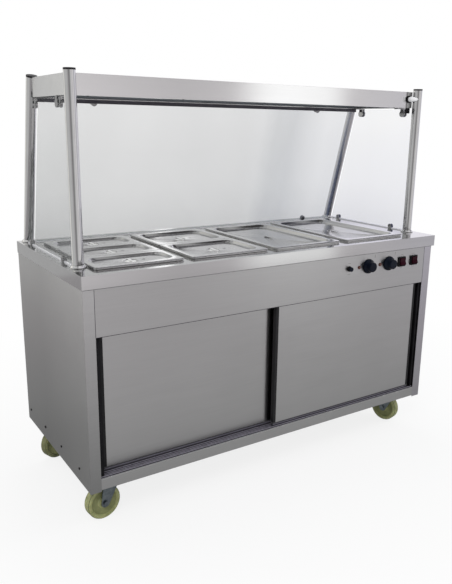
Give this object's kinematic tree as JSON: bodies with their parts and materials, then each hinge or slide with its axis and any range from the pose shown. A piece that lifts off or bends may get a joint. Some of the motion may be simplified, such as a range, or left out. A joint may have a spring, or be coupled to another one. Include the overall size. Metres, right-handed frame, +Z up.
{
  "type": "mobile serving counter",
  "caption": "Mobile heated serving counter of stainless steel with lidded pans, a glazed gantry with a lamp hood, sliding cupboard doors and swivel casters.",
  "frame": {"origin": "on the floor under the middle of the part's overall box, knobs and cable gland included", "axes": "+X along the counter to the right as seen from the side with the doors and the controls, +Y from that side to the rear, +Z up"},
  "size_m": [1.6, 0.736, 1.5128],
  "materials": {
    "satin_steel": "satin brushed stainless steel sheet",
    "pan_steel": "dull drawn stainless steel",
    "lid_steel": "bright satin stainless steel",
    "post_steel": "lengthwise polished tube",
    "bright_steel": "polished",
    "dark_steel": "darkened screw and rivet heads",
    "element_steel": "heat-stained tube",
    "zinc_plate": "bright zinc plating",
    "track_aluminium": "extruded",
    "jamb_grey": "dark channel",
    "black_plastic": "semi-matt",
    "knob_plastic": "glossy blue-black",
    "red_plastic": "glossy dark red",
    "amber_lens": "clear amber lens",
    "pale_plastic": "moulded",
    "white_plastic": "moulded",
    "lamp_ceramic": "glazed",
    "brass": "plain",
    "wheel_nylon": "cream nylon",
    "clear_glass": "clear toughened sheet"
  },
  "bodies": {
    "counter": {"worktop": "satin_steel", "left_side_panel": "satin_steel", "right_side_panel": "satin_steel", "rear_panel": "satin_steel", "control_fascia": "satin_steel", "base_tray": "satin_steel", "door_tracks": "track_aluminium", "door_jambs": "jamb_grey", "cupboard_shelf": "satin_steel", "bain_marie_tank": "pan_steel", "tank_element": "element_steel", "cupboard_heater": "element_steel", "drain_pipe": "brass", "thermostats": "pale_plastic", "neon_lamps": "amber_lens", "switch_housings": "black_plastic", "supply_box": "black_plastic", "gantry_posts": "post_steel", "post_feet": "bright_steel", "post_caps": "black_plastic", "hood_shell": "satin_steel", "heat_lamps": "lamp_ceramic", "cable_conduit": "white_plastic", "rear_glass": "clear_glass", "end_glasses": "clear_glass", "glass_clamps": "bright_steel", "fasteners": "dark_steel", "caster_plates": "zinc_plate", "pan_bars": "pan_steel"},
    "left_door": {"left_door": "satin_steel", "left_door_trim": "black_plastic"},
    "right_door": {"right_door": "satin_steel", "right_door_trim": "black_plastic"},
    "knob_left": {"knob_left": "knob_plastic"},
    "knob_right": {"knob_right": "knob_plastic"},
    "rocker_left": {"rocker_left": "red_plastic"},
    "rocker_right": {"rocker_right": "red_plastic"},
    "push_button": {"push_button": "knob_plastic"},
    "fork_fl": {"fork_fl": "zinc_plate"},
    "wheel_fl": {"wheel_fl": "wheel_nylon"},
    "fork_fr": {"fork_fr": "zinc_plate"},
    "wheel_fr": {"wheel_fr": "wheel_nylon"},
    "fork_rl": {"fork_rl": "zinc_plate"},
    "wheel_rl": {"wheel_rl": "wheel_nylon"},
    "fork_rr": {"fork_rr": "zinc_plate"},
    "wheel_rr": {"wheel_rr": "wheel_nylon"},
    "pan_1a": {"pan_1a": "pan_steel"},
    "lid_1a": {"lid_1a": "lid_steel"},
    "pan_1b": {"pan_1b": "pan_steel"},
    "lid_1b": {"lid_1b": "lid_steel"},
    "pan_1c": {"pan_1c": "pan_steel"},
    "lid_1c": {"lid_1c": "lid_steel"},
    "pan_2a": {"pan_2a": "pan_steel"},
    "lid_2a": {"lid_2a": "lid_steel"},
    "pan_2b": {"pan_2b": "pan_steel"},
    "lid_2b": {"lid_2b": "lid_steel"},
    "pan_3": {"pan_3": "pan_steel"},
    "lid_3": {"lid_3": "lid_steel"},
    "pan_4": {"pan_4": "pan_steel"},
    "lid_4": {"lid_4": "lid_steel"}
  },
  "joints": [
    {"name": "left_door_slide", "type": "slide", "parent": "counter", "child": "left_door", "axis": [1, 0, 0], "range_m": [0, 0.6925]},
    {"name": "right_door_slide", "type": "slide", "parent": "counter", "child": "right_door", "axis": [-1, 0, 0], "range_m": [0, 0.6925]},
    {"name": "knob_left_turn", "type": "hinge", "parent": "counter", "child": "knob_left", "pos_m": [0.411, -0.338, 0.803], "axis": [0, 1, 0], "range_deg": [0, 270]},
    {"name": "knob_right_turn", "type": "hinge", "parent": "counter", "child": "knob_right", "pos_m": [0.528, -0.338, 0.803], "axis": [0, 1, 0], "range_deg": [0, 270]},
    {"name": "rocker_left_tilt", "type": "hinge", "parent": "counter", "child": "rocker_left", "pos_m": [0.604, -0.339, 0.803], "axis": [1, 0, 0], "range_deg": [0, 18]},
    {"name": "rocker_right_tilt", "type": "hinge", "parent": "counter", "child": "rocker_right", "pos_m": [0.676, -0.339, 0.803], "axis": [1, 0, 0], "range_deg": [0, 18]},
    {"name": "push_button_press", "type": "slide", "parent": "counter", "child": "push_button", "axis": [0, 1, 0], "range_m": [0, 0.005], "stiffness_N_per_m": 300, "springref_m": -0.003},
    {"name": "front_left_swivel", "type": "hinge", "parent": "counter", "child": "fork_fl", "pos_m": [-0.686, -0.24, 0.15], "axis": [0, 0, 1], "continuous": true},
    {"name": "front_left_roll", "type": "hinge", "parent": "fork_fl", "child": "wheel_fl", "pos_m": [-0.72372, -0.24463, 0.0625], "axis": [0.1219, -0.9925, 0], "continuous": true},
    {"name": "front_right_swivel", "type": "hinge", "parent": "counter", "child": "fork_fr", "pos_m": [0.727, -0.24, 0.15], "axis": [0, 0, 1], "continuous": true},
    {"name": "front_right_roll", "type": "hinge", "parent": "fork_fr", "child": "wheel_fr", "pos_m": [0.71781, -0.20313, 0.0625], "axis": [-0.9703, -0.2419, 0], "continuous": true},
    {"name": "rear_left_swivel", "type": "hinge", "parent": "counter", "child": "fork_rl", "pos_m": [-0.686, 0.278, 0.15], "axis": [0, 0, 1], "continuous": true},
    {"name": "rear_left_roll", "type": "hinge", "parent": "fork_rl", "child": "wheel_rl", "pos_m": [-0.72193, 0.26563, 0.0625], "axis": [0.3256, -0.9455, 0], "continuous": true},
    {"name": "rear_right_swivel", "type": "hinge", "parent": "counter", "child": "fork_rr", "pos_m": [0.727, 0.278, 0.15], "axis": [0, 0, 1], "continuous": true},
    {"name": "rear_right_roll", "type": "hinge", "parent": "fork_rr", "child": "wheel_rr", "pos_m": [0.69256, 0.26194, 0.0625], "axis": [0.4226, -0.9063, 0], "continuous": true},
    {"name": "pan_1a_lift", "type": "slide", "parent": "counter", "child": "pan_1a", "axis": [0, 0, 1], "range_m": [0, 0.105]},
    {"name": "lid_1a_lift", "type": "slide", "parent": "pan_1a", "child": "lid_1a", "axis": [0, 0, 1], "range_m": [0, 0.07]},
    {"name": "pan_1b_lift", "type": "slide", "parent": "counter", "child": "pan_1b", "axis": [0, 0, 1], "range_m": [0, 0.105]},
    {"name": "lid_1b_lift", "type": "slide", "parent": "pan_1b", "child": "lid_1b", "axis": [0, 0, 1], "range_m": [0, 0.07]},
    {"name": "pan_1c_lift", "type": "slide", "parent": "counter", "child": "pan_1c", "axis": [0, 0, 1], "range_m": [0, 0.105]},
    {"name": "lid_1c_lift", "type": "slide", "parent": "pan_1c", "child": "lid_1c", "axis": [0, 0, 1], "range_m": [0, 0.07]},
    {"name": "pan_2a_lift", "type": "slide", "parent": "counter", "child": "pan_2a", "axis": [0, 0, 1], "range_m": [0, 0.105]},
    {"name": "lid_2a_lift", "type": "slide", "parent": "pan_2a", "child": "lid_2a", "axis": [0, 0, 1], "range_m": [0, 0.07]},
    {"name": "pan_2b_lift", "type": "slide", "parent": "counter", "child": "pan_2b", "axis": [0, 0, 1], "range_m": [0, 0.105]},
    {"name": "lid_2b_lift", "type": "slide", "parent": "pan_2b", "child": "lid_2b", "axis": [0, 0, 1], "range_m": [0, 0.07]},
    {"name": "pan_3_lift", "type": "slide", "parent": "counter", "child": "pan_3", "axis": [0, 0, 1], "range_m": [0, 0.105]},
    {"name": "lid_3_lift", "type": "slide", "parent": "pan_3", "child": "lid_3", "axis": [0, 0, 1], "range_m": [0, 0.07]},
    {"name": "pan_4_lift", "type": "slide", "parent": "counter", "child": "pan_4", "axis": [0, 0, 1], "range_m": [0, 0.105]},
    {"name": "lid_4_lift", "type": "slide", "parent": "pan_4", "child": "lid_4", "axis": [0, 0, 1], "range_m": [0, 0.07]}
  ]
}
